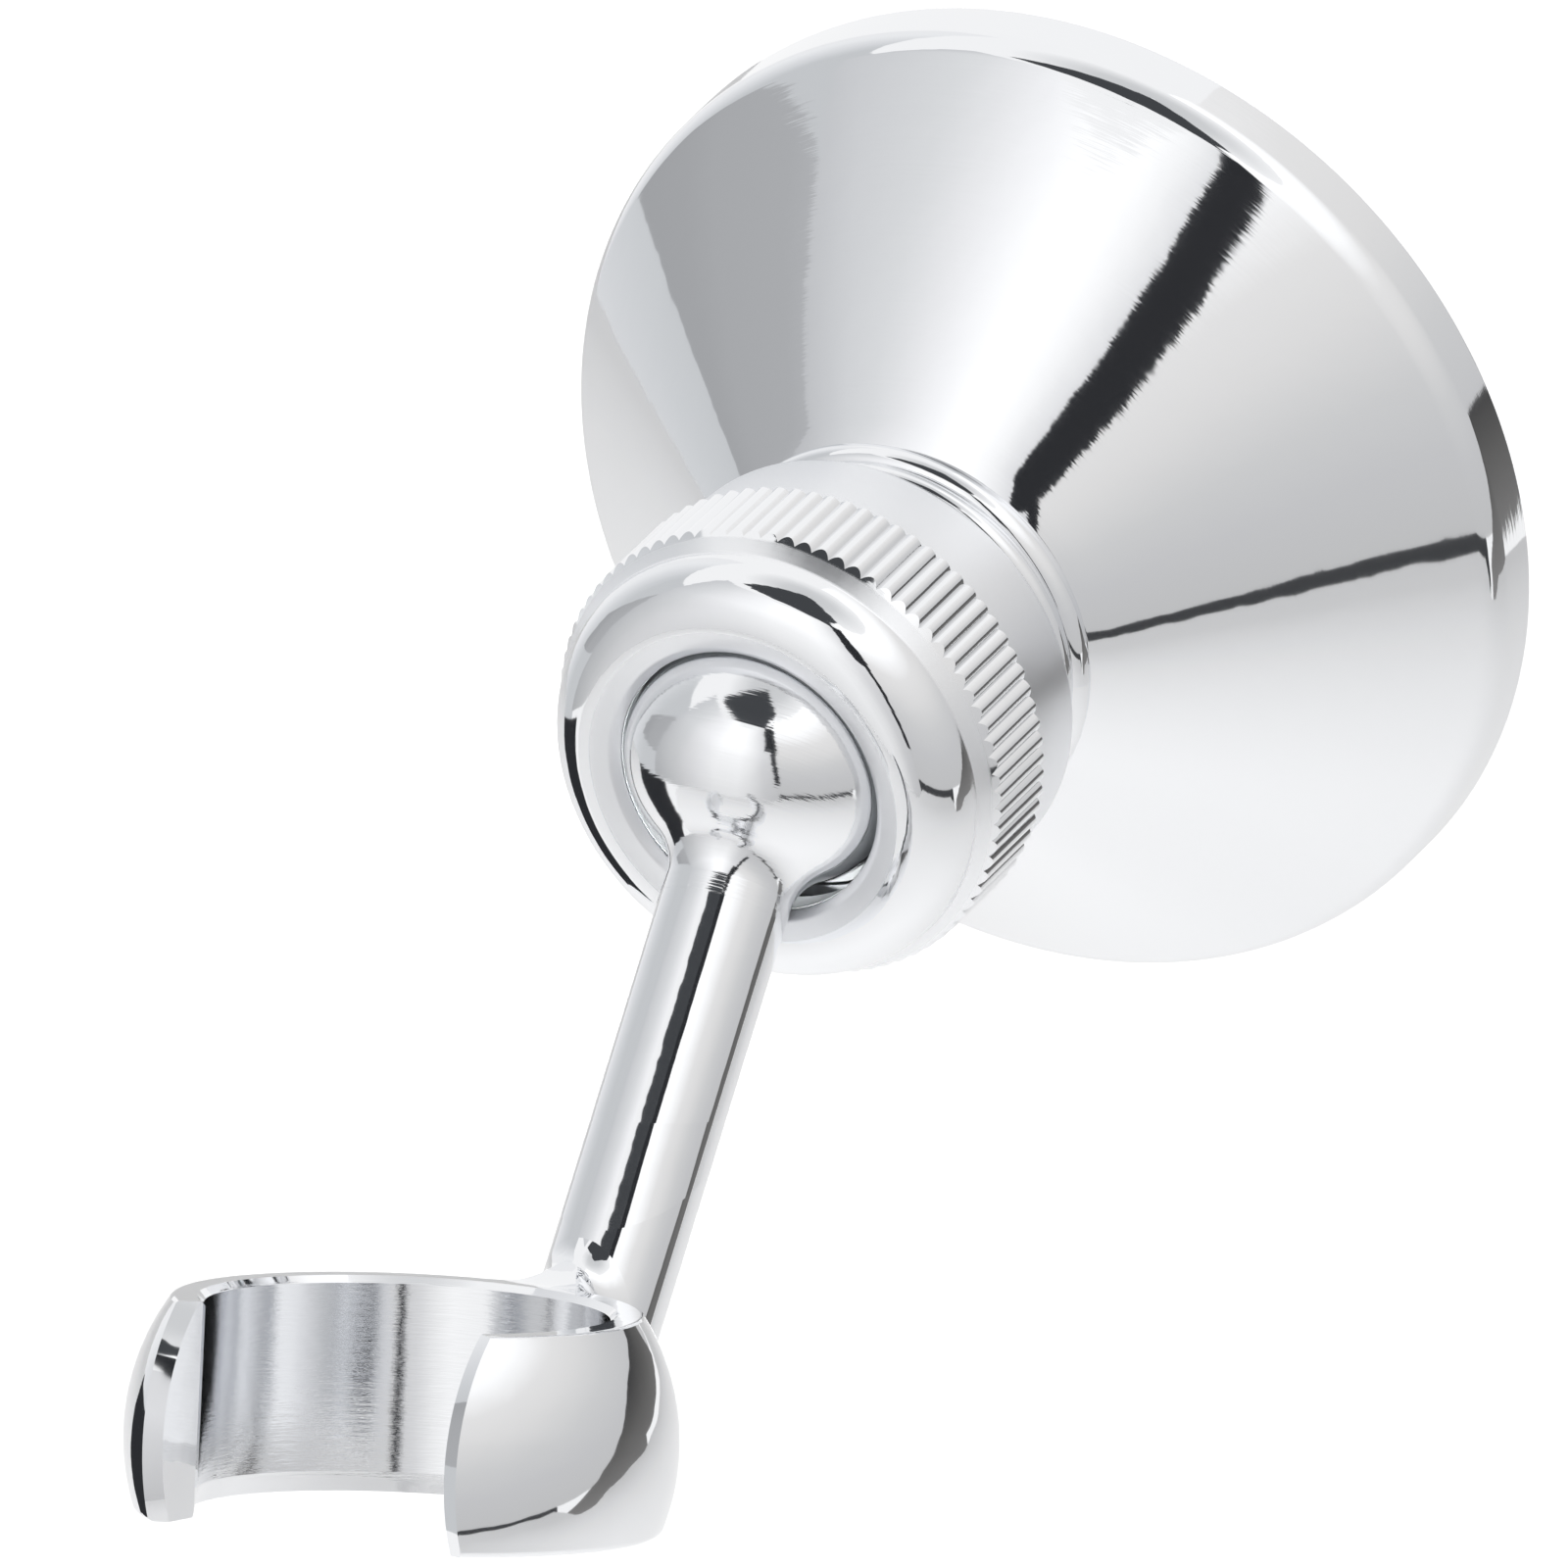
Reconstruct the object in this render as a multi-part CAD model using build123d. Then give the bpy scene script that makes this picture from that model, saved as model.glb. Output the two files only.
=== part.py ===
from build123d import *
import os
from math import asin, atan2, cos, degrees, hypot, pi, radians, sin, sqrt

# A wall-mounted hand shower holder: a conical flange, a ball joint held by a knurled nut,
# and a cast arm that ends in a C-shaped clip.
# Millimetres and degrees. The wall is the plane y = 0, the holder stands out along -y, +z is up.

# Wall flange: a spun cone with a straight rim
BASE_RADIUS = 30.0
RIM_HEIGHT = 3.8
CONE_HEIGHT = 16.6
FLANGE_WALL = 1.4
RIM_ROUND = 0.5

# Wall plate and its stud, hidden under the flange
PLATE_THICKNESS = 3.0
PLATE_CLEARANCE = 0.3
FIXING_SPACING = 34.0
FIXING_HOLE_RADIUS = 2.3
FIXING_SINK_RADIUS = 4.0
STUD_RADIUS = 4.0
STUD_LENGTH = 13.5
STUD_HEAD_RADIUS = 6.5
STUD_HEAD_THICKNESS = 1.2

# Socket body: a tapped shank, two beads and a threaded barrel with a cup for the ball
TAP_CLEARANCE = 0.05
TAP_SPARE = 2.0
SHANK_WALL = 3.95
SHANK_CLEARANCE = 0.15
BEAD_ROUND = 1.0
SECOND_BEAD_ROUND = 0.65
BEAD_STANDOFF = 0.05
CONE_LAND = 0.5
CUP_STEP = 2.25
CUP_CLEARANCE = 0.9
BARREL_WALL = 1.9
BARREL_SETBACK = 1.6

# Ball, its seat, the rubber washer behind the seat and the friction ring in front
BALL_RADIUS = 8.4
BALL_CLEARANCE = 0.15
SEAT_FLOOR = 1.55
SEAT_DEPTH = 5.4
SEAT_HOLE_RADIUS = 3.2
SEAT_SIDE_CLEARANCE = 0.1
SEAT_BACK_CLEARANCE = 0.05
WASHER_THICKNESS = 2.0
WASHER_HOLE_RADIUS = 4.5
RING_REACH = 2.25
RING_LENGTH = 2.2
RING_WALL = 1.5

# Clamping nut: plain band, knurl, shoulder, rounded nose and countersunk mouth
THREAD_CLEARANCE = 0.25
NUT_WALL = 1.95
NUT_TAPER = 0.35
NUT_BACK_ROUND = 0.6
PLAIN_LENGTH = 5.5
KNURL_LENGTH = 6.1
KNURL_HEIGHT = 0.53
KNURL_COUNT = 80
KNURL_END = 0.45
SHOULDER_LENGTH = 0.86
SHOULDER_STEP = 0.95
NOSE_ROUND = 3.4
NOSE_STRAIGHT = 0.1
LIP_THICKNESS = 0.65
LIP_CLEARANCE = 0.02
LIP_CHAMFER = 0.5
MOUTH_DEPTH = 0.3
MOUTH_FLARE = 1.67
POCKET_CLEARANCE = 0.1
POCKET_END_CLEARANCE = 0.05

# Arm: a round bar, bored at its end for the spigot on the ball's neck
ARM_RADIUS = 3.75
ARM_REACH = 38.6
ARM_STOP_GAP = 0.5
BALL_FRONT = 7.0
NECK_LENGTH = 1.6
NECK_FILLET = 2.8
SPIGOT_RADIUS = 2.5
SPIGOT_LENGTH = 9.5
SPIGOT_CLEARANCE = 0.05
SHOULDER_GAP = 0.03
ARM_TAIL = 2.2
ROOT_FILLET = 3.0
ROOT_RISE = 4.5
ROOT_FLARE = 5.0

# Clip: a barrel-sided C ring, its axis leaning from the arm by CLIP_LEAN
CLIP_BORE_RADIUS = 11.65
CLIP_HEIGHT = 12.5
CLIP_TOP_WALL = 1.85
CLIP_MIDDLE_WALL = 4.2
CLIP_BOTTOM_WALL = 3.45
CLIP_LEAN = 25.2
CLIP_SET = 5.45
CLIP_FOOT_ROUND = 0.5
CLIP_TOP_ROUND = 0.3
BORE_TOP_LEAD = 0.4
BORE_FOOT_LEAD = 0.35
BORE_FOOT_HEIGHT = 1.2
SLOT_WIDTH = 18.3
SLOT_TURN = 7.0
TIP_OUTER_CUT = 1.3
TIP_INNER_CUT = 0.45

# Rest pose of the arm: turned about the wall axis, and spun about its own axis
REST_SWING = -3.8
REST_SPIN = -9.6

# Stations along the wall axis, as distances from the wall
cone_top = RIM_HEIGHT + CONE_HEIGHT
bead_middle = cone_top + BEAD_ROUND
second_bead_middle = bead_middle + BEAD_ROUND + SECOND_BEAD_ROUND
neck_front = second_bead_middle + SECOND_BEAD_ROUND
cup_floor = neck_front + CUP_STEP
washer_front = cup_floor + WASHER_THICKNESS
seat_back = washer_front + SEAT_BACK_CLEARANCE
ball_middle = seat_back + SEAT_FLOOR + BALL_CLEARANCE + BALL_RADIUS
barrel_front = ball_middle - BARREL_SETBACK
ring_front = ball_middle + RING_REACH
ring_back = ring_front - RING_LENGTH
pocket_front = ring_front + POCKET_END_CLEARANCE
lip_front = pocket_front + LIP_THICKNESS
lip_back = lip_front - LIP_CHAMFER
nose_front = lip_front + MOUTH_DEPTH
nose_back = nose_front - NOSE_ROUND - NOSE_STRAIGHT
knurl_front = nose_back - SHOULDER_LENGTH
knurl_back = knurl_front - KNURL_LENGTH
nut_back = knurl_back - PLAIN_LENGTH

# Radii about the wall axis
cup_radius = BALL_RADIUS + CUP_CLEARANCE
barrel_radius = cup_radius + BARREL_WALL
bead_radius = barrel_radius + BEAD_STANDOFF
cone_top_radius = bead_radius + CONE_LAND
tap_radius = STUD_RADIUS + TAP_CLEARANCE
shank_radius = tap_radius + SHANK_WALL
socket_ball_radius = BALL_RADIUS + BALL_CLEARANCE
ring_mouth_radius = sqrt(socket_ball_radius**2 - RING_REACH**2)
lip_radius = ring_mouth_radius + LIP_CLEARANCE
mouth_radius = lip_radius + MOUTH_FLARE
mouth_edges = [(lip_radius, lip_back), (lip_radius + LIP_CHAMFER, lip_front), (mouth_radius, nose_front)]
ring_radius = socket_ball_radius + RING_WALL
pocket_radius = ring_radius + POCKET_CLEARANCE
thread_radius = barrel_radius + THREAD_CLEARANCE
nut_back_radius = thread_radius + NUT_WALL
plain_front_radius = nut_back_radius + NUT_TAPER
knurl_radius = plain_front_radius + KNURL_HEIGHT
nose_radius = knurl_radius - SHOULDER_STEP

# Clip radii, in the clip's own frame
clip_half_height = CLIP_HEIGHT / 2
clip_offset = CLIP_BORE_RADIUS + CLIP_SET
arm_start = sqrt(BALL_RADIUS**2 - ARM_RADIUS**2) + NECK_LENGTH


def turned(points):
    """A body turned about the wall axis from (radius, distance from the wall) points."""
    outline = Polyline([(radius, -distance) for radius, distance in points], close=True)
    return revolve(make_face(outline), Axis.Y)


def wall_ball(radius):
    """A ball about the joint's centre."""
    return Pos(0, -ball_middle, 0) * Sphere(radius)


def wall_rod(radius, back, front):
    """A round bar on the wall axis between two distances from the wall."""
    return turned([(0, back), (radius, back), (radius, front), (0, front)])


def ring_edges(shape, radius, distance):
    """The round edges of a turned body at one radius and distance from the wall."""
    return [
        edge
        for edge in shape.edges().filter_by(GeomType.CIRCLE)
        if abs(edge.radius - radius) < 1e-4 and abs(edge.arc_center.Y + distance) < 1e-4
    ]


def cone_distance(radius):
    """Distance from the wall of the flange's outer cone at a radius."""
    return RIM_HEIGHT + CONE_HEIGHT * (BASE_RADIUS - radius) / (BASE_RADIUS - cone_top_radius)


def cone_radius(distance):
    """Radius of the flange's outer cone at a distance from the wall."""
    return BASE_RADIUS - (BASE_RADIUS - cone_top_radius) * (distance - RIM_HEIGHT) / CONE_HEIGHT


# The inner cone lies one wall inside the outer one, measured square to its face
cone_shift = FLANGE_WALL * hypot(CONE_HEIGHT, BASE_RADIUS - cone_top_radius) / (BASE_RADIUS - cone_top_radius)
rim_inner_radius = BASE_RADIUS - FLANGE_WALL
flange_floor = cone_top - FLANGE_WALL


def make_wall_flange():
    """A spun shell: straight rim, cone, and a small flat with the shank's hole."""
    hole = shank_radius + SHANK_CLEARANCE
    shell = turned(
        [
            (BASE_RADIUS, 0),
            (BASE_RADIUS, RIM_HEIGHT),
            (cone_top_radius, cone_top),
            (hole, cone_top),
            (hole, flange_floor),
            (cone_radius(flange_floor + cone_shift), flange_floor),
            (rim_inner_radius, cone_distance(rim_inner_radius) - cone_shift),
            (rim_inner_radius, 0),
        ]
    )
    return fillet(ring_edges(shell, BASE_RADIUS, RIM_HEIGHT), RIM_ROUND)


def make_wall_plate():
    """A round steel plate with two countersunk screw holes and a recess for the stud's head."""
    room = min(rim_inner_radius, cone_radius(PLATE_THICKNESS + cone_shift))
    plate = wall_rod(room - PLATE_CLEARANCE, 0, PLATE_THICKNESS)
    plate -= wall_rod(STUD_RADIUS, 0, PLATE_THICKNESS)
    plate -= wall_rod(STUD_HEAD_RADIUS, 0, STUD_HEAD_THICKNESS)
    sink_depth = FIXING_SINK_RADIUS - FIXING_HOLE_RADIUS
    screw_hole = wall_rod(FIXING_HOLE_RADIUS, 0, PLATE_THICKNESS) + turned(
        [
            (0, PLATE_THICKNESS - sink_depth),
            (FIXING_HOLE_RADIUS, PLATE_THICKNESS - sink_depth),
            (FIXING_SINK_RADIUS, PLATE_THICKNESS),
            (0, PLATE_THICKNESS),
        ]
    )
    for side in (-1, 1):
        plate -= Pos(side * FIXING_SPACING / 2, 0, 0) * screw_hole
    return plate


def make_mounting_stud():
    """A flat-headed stud that stands through the plate."""
    stud = wall_rod(STUD_RADIUS, 0, PLATE_THICKNESS + STUD_LENGTH)
    stud += wall_rod(STUD_HEAD_RADIUS, 0, STUD_HEAD_THICKNESS)
    tip = ring_edges(stud, STUD_RADIUS, PLATE_THICKNESS + STUD_LENGTH)
    return chamfer(tip, STUD_RADIUS / 6)


def make_socket_body():
    """Shank, beads and barrel turned in one piece, bored for the stud and for the ball."""
    body = wall_rod(shank_radius, PLATE_THICKNESS, cone_top)
    body += wall_rod(bead_radius, cone_top, neck_front)
    body += wall_rod(barrel_radius, neck_front, barrel_front)
    for middle, round_radius in ((bead_middle, BEAD_ROUND), (second_bead_middle, SECOND_BEAD_ROUND)):
        body += Location((0, -middle, 0), (90, 0, 0)) * Torus(bead_radius, round_radius)
    body -= wall_rod(tap_radius, PLATE_THICKNESS, PLATE_THICKNESS + STUD_LENGTH + TAP_SPARE)
    body -= wall_rod(cup_radius, cup_floor, barrel_front)
    return body


def make_pressure_washer():
    """A flat rubber ring on the cup's floor."""
    washer = wall_rod(cup_radius - SEAT_SIDE_CLEARANCE, cup_floor, washer_front)
    return washer - wall_rod(WASHER_HOLE_RADIUS, cup_floor, washer_front)


def make_ball_seat():
    """A nylon cup with a hollow for the back of the ball."""
    seat = wall_rod(cup_radius - SEAT_SIDE_CLEARANCE, seat_back, seat_back + SEAT_FLOOR + SEAT_DEPTH)
    seat -= wall_ball(socket_ball_radius)
    return seat - wall_rod(SEAT_HOLE_RADIUS, seat_back, ball_middle)


def make_friction_ring():
    """A nylon ring in the nut, hollowed for the front of the ball."""
    return wall_rod(ring_radius, ring_back, ring_front) - wall_ball(socket_ball_radius)


def knurl_blank():
    """A band with rounded ridges all round it, chamfered at both ends."""
    step = 2 * pi / KNURL_COUNT
    root_radius = plain_front_radius

    def rim_point(radius, angle):
        return (radius * cos(angle), radius * sin(angle))

    ridges = [
        ThreePointArc(
            rim_point(root_radius, index * step),
            rim_point(knurl_radius, (index + 0.5) * step),
            rim_point(root_radius, (index + 1) * step),
        )
        for index in range(KNURL_COUNT)
    ]
    face = Plane.XZ * make_face(Wire(ridges))
    band = extrude(face, -knurl_front, dir=(0, 1, 0))
    blank = turned(
        [
            (0, knurl_back),
            (root_radius, knurl_back),
            (knurl_radius + KNURL_HEIGHT, knurl_back + KNURL_END),
            (knurl_radius + KNURL_HEIGHT, knurl_front),
            (0, knurl_front),
        ]
    )
    return band & blank


def make_clamp_nut():
    """Plain band, knurl, shoulder and rounded nose, bored for the barrel, the ring and the ball."""
    nut = turned(
        [(0, nut_back), (nut_back_radius, nut_back), (plain_front_radius, knurl_back), (0, knurl_back)]
    )
    nut = fillet(ring_edges(nut, nut_back_radius, nut_back), NUT_BACK_ROUND)
    nut += knurl_blank()
    nut += turned(
        [(0, knurl_front), (plain_front_radius, knurl_front), (nose_radius, nose_back), (0, nose_back)]
    )
    nose = wall_rod(nose_radius, nose_back, nose_front)
    nut += fillet(ring_edges(nose, nose_radius, nose_front), NOSE_ROUND)
    nut -= wall_rod(thread_radius, nut_back, barrel_front + THREAD_CLEARANCE)
    nut -= wall_rod(pocket_radius, nut_back, pocket_front)
    nut -= wall_rod(lip_radius, nut_back, nose_front)
    return nut - turned([(0, lip_back), *mouth_edges, (0, nose_front)])


# The clip's own frame: clip axis along z, opening towards -y, the arm standing on the +y side
arm_direction = Vector(0, sin(radians(CLIP_LEAN)), cos(radians(CLIP_LEAN)))
arm_foot = Vector(0, clip_offset, 0)
ball_in_clip = arm_foot + arm_direction * ARM_REACH
arm_plane = Plane(origin=ball_in_clip, x_dir=(1, 0, 0), z_dir=-arm_direction)


def arm_rod(radius, start, end):
    """A round bar on the arm's axis, between two distances from the ball's centre."""
    return arm_plane.offset(start) * Cylinder(radius, end - start, align=(Align.CENTER, Align.CENTER, Align.MIN))


def barrel_circle():
    """Centre and radius of the arc through the clip's top, middle and bottom outer radii."""
    top, middle, bottom = (CLIP_BORE_RADIUS + wall for wall in (CLIP_TOP_WALL, CLIP_MIDDLE_WALL, CLIP_BOTTOM_WALL))
    upper = (middle**2 - top**2 - clip_half_height**2) / 2
    lower = (middle**2 - bottom**2 - clip_half_height**2) / 2
    centre_radius = (upper + lower) / (2 * middle - top - bottom)
    centre_height = ((middle - top) * centre_radius - upper) / clip_half_height
    return centre_radius, centre_height, hypot(middle - centre_radius, centre_height)


def make_barrel(foot, top):
    """The clip's barrel, solid, between two heights in the clip's frame."""
    centre_radius, centre_height, arc_radius = barrel_circle()

    def side(height):
        return (centre_radius + sqrt(arc_radius**2 - (height - centre_height) ** 2), height)

    curve = ThreePointArc(side(foot), side(0), side(top))
    closing = Polyline([side(top), (0, top), (0, foot), side(foot)])
    return revolve(Plane.XZ * make_face(Wire([curve, *closing.edges()])), Axis.Z)


def from_arm(point):
    """Distance of a point along the arm from the ball's centre, and out from the arm's axis."""
    from_ball = point - ball_in_clip
    along = from_ball.dot(-arm_direction)
    return along, (from_ball + arm_direction * along).length


def arm_edges(shape, nearest, furthest):
    """Edges that run round the arm's side between two distances from the ball's centre."""
    found = []
    for edge in shape.edges():
        places = [from_arm(edge.position_at(share)) for share in (0.0, 0.3, 0.6, 1.0)]
        on_side = all(abs(out - ARM_RADIUS) < 1e-3 for along, out in places)
        if on_side and all(nearest < along < furthest for along, out in places):
            found.append(edge)
    return found


def make_bar():
    """The arm's bar with a rounded end that sinks into the clip."""
    end = ARM_REACH + ARM_TAIL
    return arm_rod(ARM_RADIUS, arm_start + SHOULDER_GAP, end) + arm_plane.offset(end) * Sphere(ARM_RADIUS)


def make_flared_bar():
    """The bar standing on a plate level with the clip's top, with a fillet round its foot."""
    plate = Pos(0, 0, clip_half_height) * Cylinder(
        2 * clip_offset, CLIP_HEIGHT, align=(Align.CENTER, Align.CENTER, Align.MAX)
    )
    standing = plate + arm_rod(ARM_RADIUS, arm_start, ARM_REACH)
    foot = [edge for edge in arm_edges(standing, 0, ARM_REACH) if abs(edge.center().Z - clip_half_height) < 1e-3]
    return fillet(foot, ROOT_FLARE)


def make_bore():
    """The bore with a small lead at its top and a shallow wider step at its foot."""
    foot_radius = CLIP_BORE_RADIUS + BORE_FOOT_LEAD
    outline = Polyline(
        [
            (0, -clip_half_height),
            (foot_radius, -clip_half_height),
            (CLIP_BORE_RADIUS, BORE_FOOT_HEIGHT - clip_half_height),
            (CLIP_BORE_RADIUS, clip_half_height - BORE_TOP_LEAD),
            (CLIP_BORE_RADIUS + BORE_TOP_LEAD, clip_half_height),
            (0, clip_half_height),
        ],
        close=True,
    )
    return revolve(Plane.XZ * make_face(outline), Axis.Z)


def make_opening():
    """What is cut away to open the clip towards -y: a straight slot and the chamfers of both tips."""
    slot = Box(SLOT_WIDTH, 6 * CLIP_BORE_RADIUS, 2 * CLIP_HEIGHT, align=(Align.CENTER, Align.MAX, Align.CENTER))
    spare = clip_half_height + TIP_OUTER_CUT
    square_tips = make_barrel(-spare, spare) - Cylinder(CLIP_BORE_RADIUS, 4 * spare) - slot
    tips = square_tips
    for side in (-1, 1):
        for place, cut in ((0, TIP_OUTER_CUT), (-1, TIP_INNER_CUT)):
            faces = tips.faces().filter_by(Axis.X)
            tip = faces.sort_by(lambda face: abs(face.center().X - side * SLOT_WIDTH / 2))[0]
            tips = chamfer(tip.edges().sort_by(lambda edge: edge.center().Y)[place], cut)
    return Rot(0, 0, SLOT_TURN) * (slot + (square_tips - tips))


def make_holder_arm():
    """Arm and clip cast in one, with the clip's bore, its opening and tips, and the hole for the spigot."""
    room = 6 * CLIP_BORE_RADIUS
    below = Pos(0, 0, -clip_half_height) * Box(room, room, room, align=(Align.CENTER, Align.CENTER, Align.MAX))
    above = Pos(0, 0, clip_half_height) * Box(room, room, 2 * ROOT_RISE, align=(Align.CENTER, Align.CENTER, Align.MIN))
    barrel = make_barrel(-clip_half_height - ROOT_RISE, clip_half_height + ROOT_RISE)
    bar = make_bar()
    joined = barrel + bar
    holder = fillet(new_edges(barrel, bar, combined=joined), ROOT_FILLET)
    holder -= above - make_flared_bar()
    holder -= below
    holder -= make_bore()
    holder -= make_opening()
    for height, wall, rounding in (
        (-clip_half_height, CLIP_BOTTOM_WALL, CLIP_FOOT_ROUND),
        (clip_half_height, CLIP_TOP_WALL, CLIP_TOP_ROUND),
    ):
        rim = [
            edge
            for edge in holder.edges()
            if abs(edge.center().Z - height) < 1e-3
            and hypot(edge.position_at(0.5).X, edge.position_at(0.5).Y) > CLIP_BORE_RADIUS + 0.9 * wall
        ]
        holder = fillet(rim, rounding)
    bore_end = arm_start + SPIGOT_LENGTH + SPIGOT_CLEARANCE
    return holder - arm_rod(SPIGOT_RADIUS + SPIGOT_CLEARANCE, arm_start, bore_end)


# Placing: the clip frame's ball centre goes to the joint's centre, then the rest pose turns it
def stop_angle(radius, distance):
    """Angle of the arm below the wall axis at which it nears an edge of the nut's mouth."""
    ahead = distance - ball_middle
    reach = hypot(radius, ahead)
    return degrees(atan2(radius, ahead) - asin((ARM_RADIUS + ARM_STOP_GAP) / reach))


rest_tilt = min(stop_angle(radius, distance) for radius, distance in mouth_edges)
hang_upright = Rot(CLIP_LEAN, 0, 0) * Pos(-ball_in_clip)
rest_pose = (
    Pos(0, -ball_middle, 0)
    * Rot(0, REST_SWING, 0)
    * Rot(rest_tilt - 90, 0, 0)
    * Rot(0, 0, REST_SPIN)
    * hang_upright
)


def make_pivot_ball():
    """A turned ball, flatter in front, that flows into the arm, and a spigot that stands in it."""
    corner = (Align.MIN, Align.MIN)
    front = Ellipse(BALL_RADIUS, BALL_FRONT) & Rectangle(2 * BALL_RADIUS, 2 * BALL_RADIUS, align=corner)
    back = Pos(ball_in_clip) * Sphere(BALL_RADIUS) & arm_rod(2 * BALL_RADIUS, -2 * BALL_RADIUS, 0)
    ball = back + arm_plane * revolve(Plane.XZ * front, Axis.Z)
    ball += arm_rod(ARM_RADIUS, 0, arm_start)
    ball = fillet(arm_edges(ball, 0, arm_start - NECK_LENGTH / 2), NECK_FILLET)
    return ball + arm_rod(SPIGOT_RADIUS, arm_start, arm_start + SPIGOT_LENGTH)


parts = {
    "wall_flange": make_wall_flange(),
    "wall_plate": make_wall_plate(),
    "mounting_stud": make_mounting_stud(),
    "socket_body": make_socket_body(),
    "pressure_washer": make_pressure_washer(),
    "ball_seat": make_ball_seat(),
    "friction_ring": make_friction_ring(),
    "clamp_nut": make_clamp_nut(),
    "pivot_ball": rest_pose * make_pivot_ball(),
    "holder_arm": rest_pose * make_holder_arm(),
}

os.makedirs("parts", exist_ok=True)
for name, shape in parts.items():
    export_step(shape, f"parts/{name}.step")
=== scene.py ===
from math import atan2, cos, degrees, hypot, pi, radians, sin

import bmesh
import bpy
from bpy.props import FloatProperty, FloatVectorProperty, IntProperty, PointerProperty
from mathutils import Matrix, Vector


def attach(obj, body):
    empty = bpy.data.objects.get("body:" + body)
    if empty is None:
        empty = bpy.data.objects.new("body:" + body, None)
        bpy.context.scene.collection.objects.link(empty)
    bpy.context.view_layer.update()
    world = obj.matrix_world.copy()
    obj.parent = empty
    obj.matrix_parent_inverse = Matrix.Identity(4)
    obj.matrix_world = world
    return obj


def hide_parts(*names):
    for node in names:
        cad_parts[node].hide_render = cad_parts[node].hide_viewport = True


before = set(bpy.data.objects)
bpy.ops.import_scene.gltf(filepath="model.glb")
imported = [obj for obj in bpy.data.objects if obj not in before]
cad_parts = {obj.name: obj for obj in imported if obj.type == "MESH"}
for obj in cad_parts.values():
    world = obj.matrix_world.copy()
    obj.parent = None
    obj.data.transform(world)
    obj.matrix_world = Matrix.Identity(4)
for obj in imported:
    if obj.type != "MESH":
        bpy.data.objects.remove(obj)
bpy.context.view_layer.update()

bl_info = {
    "name": "Hand Shower Holder",
    "version": (1, 0, 0),
    "blender": (4, 5, 0),
    "location": "View3D > Sidebar > Shower Holder",
    "description": "A chrome wall holder for a hand shower, with its ball joint, clip and studio",
    "category": "Object",
}

MM = 0.001
TOUCH = 2e-6
# Places and axes of the joint and the clip, at rest
BALL_CENTRE = Vector((0, -38.1, 0)) * MM
ARM_AXIS = Vector((0.04601, -0.71971, -0.69275))
CLIP_CENTRE = Vector((-1.1912, -81.7125, -20.9995)) * MM
CLIP_AXIS = Vector((-0.13251, 0.35974, 0.9236))


def linear(code):
    """The linear red, green and blue of an sRGB hex colour."""
    parts = [int(code[i : i + 2], 16) / 255 for i in (1, 3, 5)]
    return tuple(c / 12.92 if c <= 0.04045 else ((c + 0.055) / 1.055) ** 2.4 for c in parts)


def add_node(tree, kind, settings=None, inputs=None):
    """A new node with its settings, and its inputs set to values or linked from sockets."""
    node = tree.nodes.new(kind)
    for key, value in (settings or {}).items():
        setattr(node, key, value)
    for key, value in (inputs or {}).items():
        if isinstance(value, bpy.types.NodeSocket):
            tree.links.new(value, node.inputs[key])
        else:
            node.inputs[key].default_value = value
    return node


def new_material(name):
    """An empty node material and its tree."""
    material = bpy.data.materials.new(name)
    material.use_nodes = True
    material.node_tree.nodes.clear()
    return material, material.node_tree


def dress(obj, material):
    """Gives a piece one finish all over."""
    obj.data.materials.clear()
    obj.data.materials.append(material)


class HolderSizes(bpy.types.PropertyGroup):
    """Sizes of the turned pieces."""

    edge_round: FloatProperty(
        name="Edge round",
        description="Small round that polishing leaves on a turned edge",
        unit="LENGTH",
        precision=6,
        default=0.12 * MM,
    )
    rim_round: FloatProperty(
        name="Rim round",
        description="Round between the flange's rim and its cone",
        unit="LENGTH",
        precision=6,
        default=1.0 * MM,
    )
    dome: FloatProperty(
        name="Dome",
        description="Bulge of the flange's cone",
        unit="LENGTH",
        precision=6,
        default=0.65 * MM,
    )
    nose_round: FloatProperty(
        name="Nose round",
        description="Round on the nut's nose",
        unit="LENGTH",
        precision=6,
        default=3.37 * MM,
    )
    ridges: IntProperty(name="Ridges", description="Ridges of the nut's knurl", min=12, default=80)
    ridge_height: FloatProperty(
        name="Ridge height",
        description="Height of the knurl's ridges",
        unit="LENGTH",
        precision=6,
        default=0.28 * MM,
    )


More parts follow.
